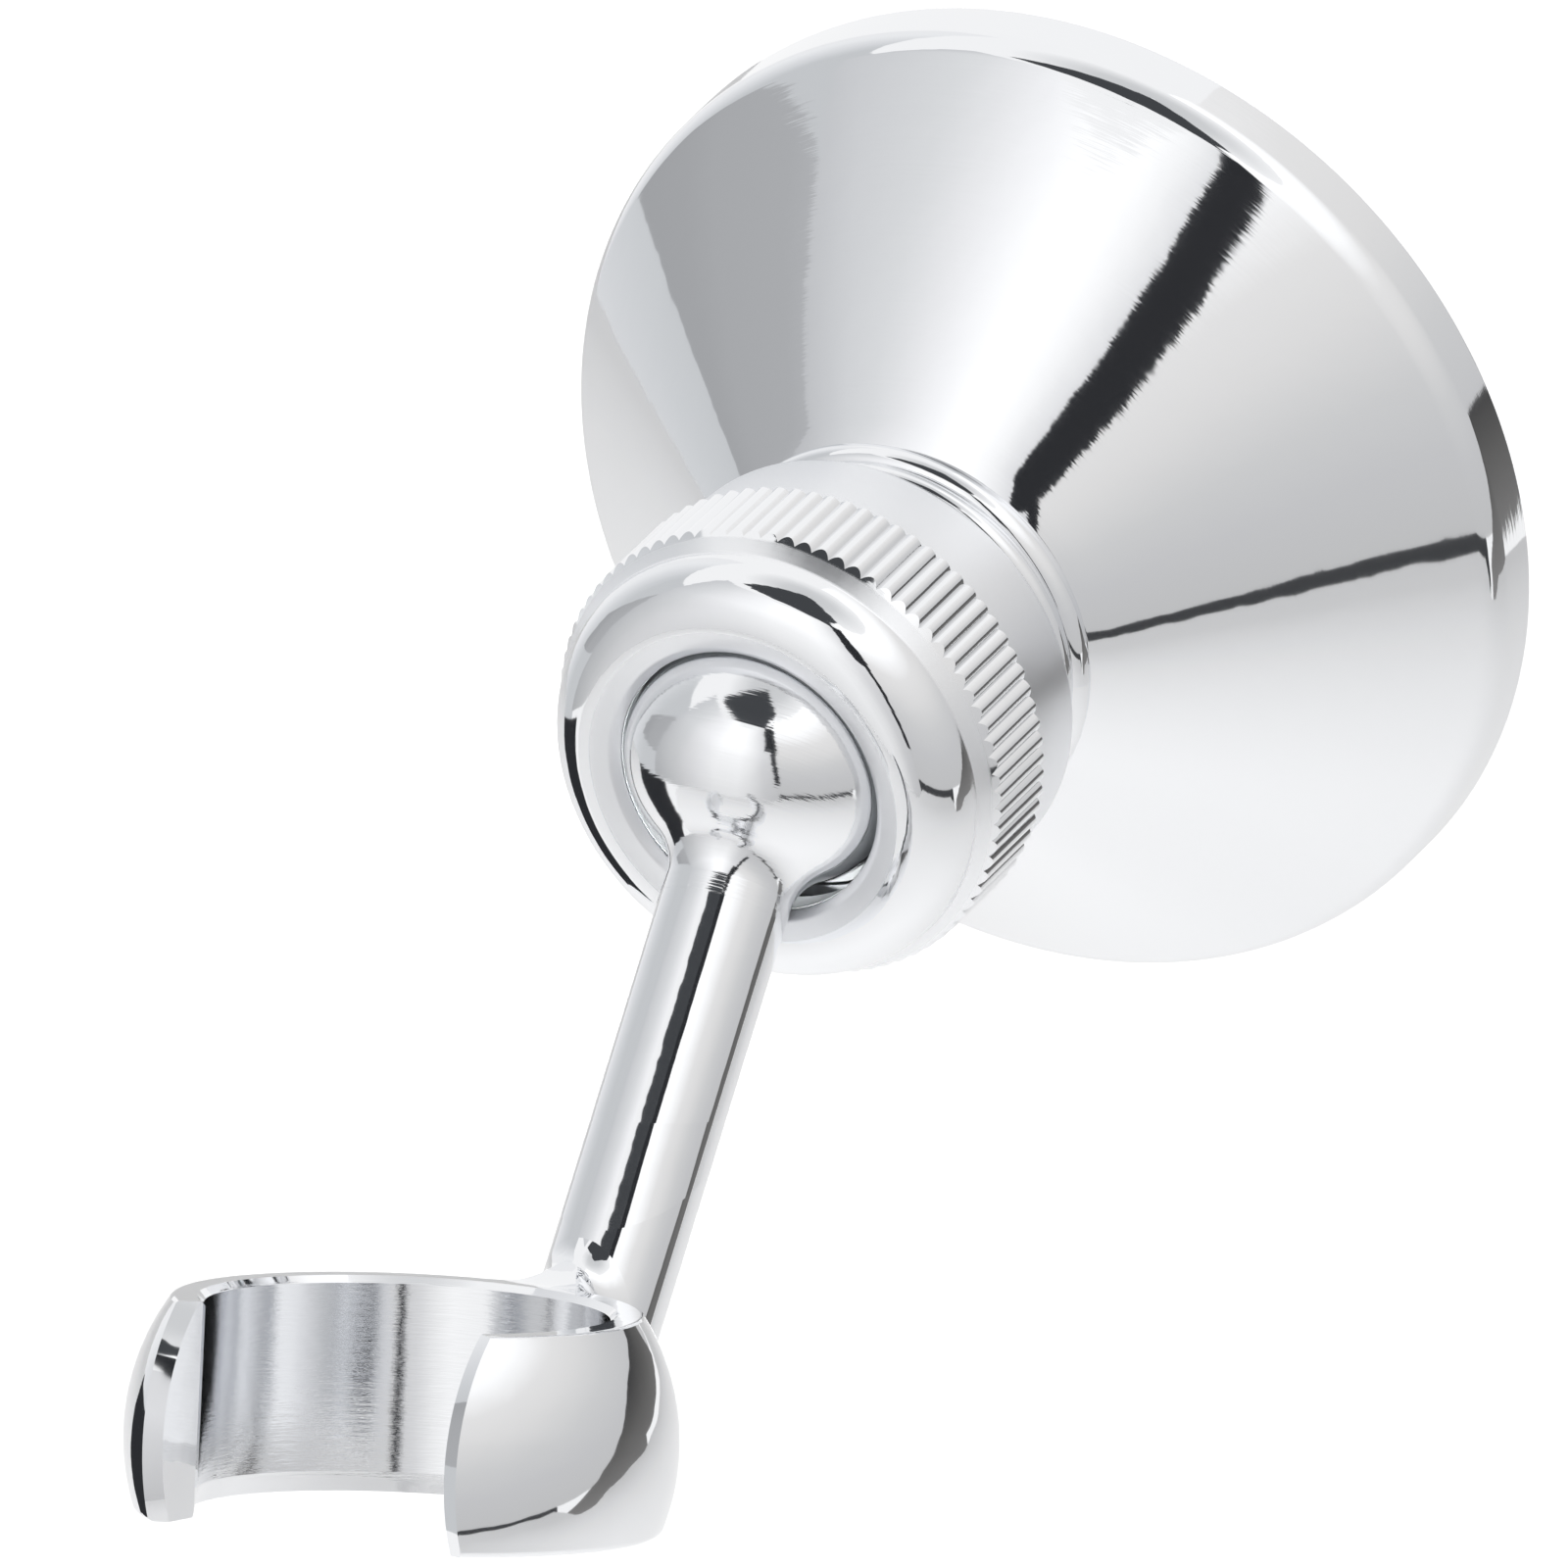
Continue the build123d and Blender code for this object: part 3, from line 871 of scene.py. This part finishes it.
def lay_floor(stage):
    """The paper floor, whose edge is nearer where the chrome should see past it."""
    bpy.ops.object.select_all(action="DESELECT")
    bpy.ops.mesh.primitive_circle_add(vertices=120, radius=1, fill_type="NGON")
    floor = bpy.context.object
    floor.name = "floor"
    # Distance of the edge in metres, by azimuth in degrees
    reach = [(-180, 0.55), (-126, 0.55), (-96, 0.4), (-88, 0.145), (-60, 0.145)]
    reach += [(-48, 0.36), (-36, 0.42), (24, 0.42), (33, 0.53), (84, 0.53)]
    reach += [(94, 0.37), (106, 0.37), (114, 0.44), (172, 0.44), (180, 0.55)]
    for vertex in floor.data.vertices:
        turn = degrees(atan2(vertex.co.x, -vertex.co.y))
        (near, one), (far, two) = next(pair for pair in zip(reach, reach[1:]) if turn <= pair[1][0])
        edge = one + (two - one) * (turn - near) / (far - near)
        vertex.co = BALL_CENTRE + direction(turn, 0) * edge + Vector((0, 0, -stage.floor_drop))
    dress(floor, paper_finish(stage))


def white_world(scene):
    """A white room to the camera and the chrome, and a dim one for the fill light."""
    world = bpy.data.worlds.new("White studio")
    scene.world = world
    world.use_nodes = True
    tree = world.node_tree
    tree.nodes.clear()
    ray = add_node(tree, "ShaderNodeLightPath")
    seen = ray.outputs["Is Camera Ray"]
    for kind in ("Is Glossy Ray", "Is Transmission Ray"):
        either = add_node(tree, "ShaderNodeMath", {"operation": "MAXIMUM"}, {0: seen, 1: ray.outputs[kind]})
        seen = either.outputs[0]
    fill = add_node(tree, "ShaderNodeBackground", inputs={"Color": (1, 1, 1, 1), "Strength": 0.35})
    white = add_node(tree, "ShaderNodeBackground", inputs={"Color": (1, 1, 1, 1), "Strength": 1.0})
    both = add_node(
        tree, "ShaderNodeMixShader", inputs={0: seen, 1: fill.outputs[0], 2: white.outputs[0]}
    )
    add_node(tree, "ShaderNodeOutputWorld", inputs={"Surface": both.outputs[0]})


def hang_cards(distance):
    """The cards that the chrome reflects, at shares of a distance from the joint."""
    flag = even_card("Black flag", "#2f3033")
    hood = even_card("Dark hood", "#45474a")
    skirt = even_card("Dark room", "#424345")
    grey = lit_cloth(
        "Grey card",
        1.0,
        across=[(-97, "#a8a9ab"), (-90, "#abacae"), (-86, "#b0b1b3"), (-76, "#b3b4b6"), (-72, "#b9babc")],
    )
    ceiling = lit_cloth("Ceiling", 1.0, upwards=[(62, "#ffffff"), (78, "#d8d9da"), (89, "#d2d3d4")])
    band = lit_cloth(
        "Back band", 1.0, upwards=[(-34, "#a09f9f"), (-20, "#807f7e"), (-8, "#636261"), (2, "#3c3c3d")]
    )
    left_tones = [(-135, "#f6f6f7"), (-123, "#f5f6f7"), (-109, "#e4e5e7")]
    left_tones += [(-98, "#d6d8da"), (-90, "#ced0d2"), (-72, "#ced0d2")]
    left = lit_cloth("Left cloth", 1.0, across=left_tones)
    front_tones = [(-72, "#c2c3c5"), (-54, "#d2d3d4"), (-41, "#e2e2e3"), (-31, "#ededee"), (-18, "#fafafa")]
    front_tones += [(0, "#fcfcfc"), (9, "#f0f0f0"), (19, "#dadadb"), (30, "#d0d0d1")]
    front_rise = [(-24, "#dcdcdc"), (16, "#f2f2f2"), (30, "#ffffff")]
    front = lit_cloth("Front cloth", 1.2, across=front_tones, upwards=front_rise)
    side_rise = [(-16, "#b8b8b8"), (0, "#bdbdbe"), (12, "#c5c5c5"), (26, "#d5d4d3")]
    side_rise += [(36, "#dcdbda"), (48, "#f8f8f8"), (60, "#ffffff")]
    side = lit_cloth("Side cloth", 1.2, upwards=side_rise)
    for name, azimuths, lows, highs, share, material in (
        ("front_cloth", (-72.5, 30), (-24, -24), (54, 54), 1.0, front),
        ("side_cloth", (29, 180), (-14, -14), (64, 64), 1.0, side),
        ("left_cloth", (-135, -71), (-45, -30), (45, 34), 1.02, left),
        ("flag_strip", (21.7, 33.5), (31, 31), (58, 58), 0.2, flag),
        ("flag_strip_low", (27, 31.2), (-4, -4), (32, 32), 0.97, flag),
        ("grey_card", (-97, -72.5), (-9, -9), (3, 24), 0.97, grey),
        ("dark_room", (20, 90), (-50, -50), (-14, -14), 1.05, skirt),
        ("back_band", (95, 146), (-34, -30), (-19, 1), 0.97, band),
        ("back_band_far", (146, 176), (-15, -15), (1, -1), 0.97, band),
        ("flag_left_low", (-92, -60), (-50, -50), (-23, -23), 0.065, flag),
        ("hood", (-64, 25), (59, 56), (89.5, 89.5), 0.9, hood),
        ("hood_side", (25, 42), (61, 66), (89.5, 89.5), 0.9, hood),
        ("ceiling", (42, 296), (62, 62), (89.5, 89.5), 0.92, ceiling),
    ):
        curved_card(name, azimuths, lows, highs, share * distance, material)


def aim_lamp(scene, lamp, place, back):
    """Puts a lamp in place with its back turned along a direction, out of the chrome and the picture."""
    obj = bpy.data.objects.new(lamp.name, lamp)
    scene.collection.objects.link(obj)
    obj.location = place
    obj.rotation_euler = back.to_track_quat("Z", "Y").to_euler()
    obj.visible_glossy = False
    obj.visible_camera = False


def add_lamps(scene, stage):
    """A soft box above the holder, and a snooted fill lamp in front that opens up the gap round the ball."""
    lamp = bpy.data.lights.new("Soft box", "AREA")
    lamp.shape = "RECTANGLE"
    lamp.size = 0.8
    lamp.size_y = 0.8
    lamp.energy = 6
    place = Vector((-0.3, -0.5, 1.0))
    aim_lamp(scene, lamp, place, place - BALL_CENTRE)
    lamp = bpy.data.lights.new("Joint fill", "SPOT")
    lamp.spot_size = radians(2.0)
    lamp.spot_blend = 0.4
    lamp.shadow_soft_size = 0.03
    lamp.energy = 220
    _, _, back = towards_camera(stage)
    distance = 0.8
    aim_lamp(scene, lamp, BALL_CENTRE + back * distance, back)


class HOLDER_OT_stage(bpy.types.Operator):
    """Adds the camera, the floor, the light and the cards that the chrome reflects"""

    bl_idname = "holder.stage"
    bl_label = "Set the stage"

    def execute(self, context):
        scene, stage = context.scene, context.scene.holder_stage
        scene.view_settings.view_transform = "Standard"
        add_camera(scene, stage)
        lay_floor(stage)
        white_world(scene)
        hang_cards(stage.card_distance)
        add_lamps(scene, stage)
        return {"FINISHED"}


class HOLDER_PT_panel(bpy.types.Panel):
    """Steps that build the hand shower holder"""

    bl_idname = "HOLDER_PT_panel"
    bl_label = "Hand Shower Holder"
    bl_space_type = "VIEW_3D"
    bl_region_type = "UI"
    bl_category = "Shower Holder"

    def draw(self, context):
        for operator in (HOLDER_OT_flange, HOLDER_OT_nut, HOLDER_OT_ball, HOLDER_OT_finish, HOLDER_OT_stage):
            self.layout.operator(operator.bl_idname)


CLASSES = (
    HolderSizes,
    HolderFinish,
    HolderStage,
    HOLDER_OT_flange,
    HOLDER_OT_nut,
    HOLDER_OT_ball,
    HOLDER_OT_finish,
    HOLDER_OT_stage,
    HOLDER_PT_panel,
)


def register():
    for item in CLASSES:
        bpy.utils.register_class(item)
    bpy.types.Scene.holder_sizes = PointerProperty(type=HolderSizes)
    bpy.types.Scene.holder_finish = PointerProperty(type=HolderFinish)
    bpy.types.Scene.holder_stage = PointerProperty(type=HolderStage)


def unregister():
    del bpy.types.Scene.holder_stage
    del bpy.types.Scene.holder_finish
    del bpy.types.Scene.holder_sizes
    for item in reversed(CLASSES):
        bpy.utils.unregister_class(item)


def main():
    register()
    bpy.ops.object.select_all(action="DESELECT")
    bpy.ops.holder.flange()
    bpy.ops.holder.nut()
    bpy.ops.holder.ball()
    bpy.ops.holder.finish()
    bpy.ops.holder.stage()


if __name__ == "__main__":
    main()
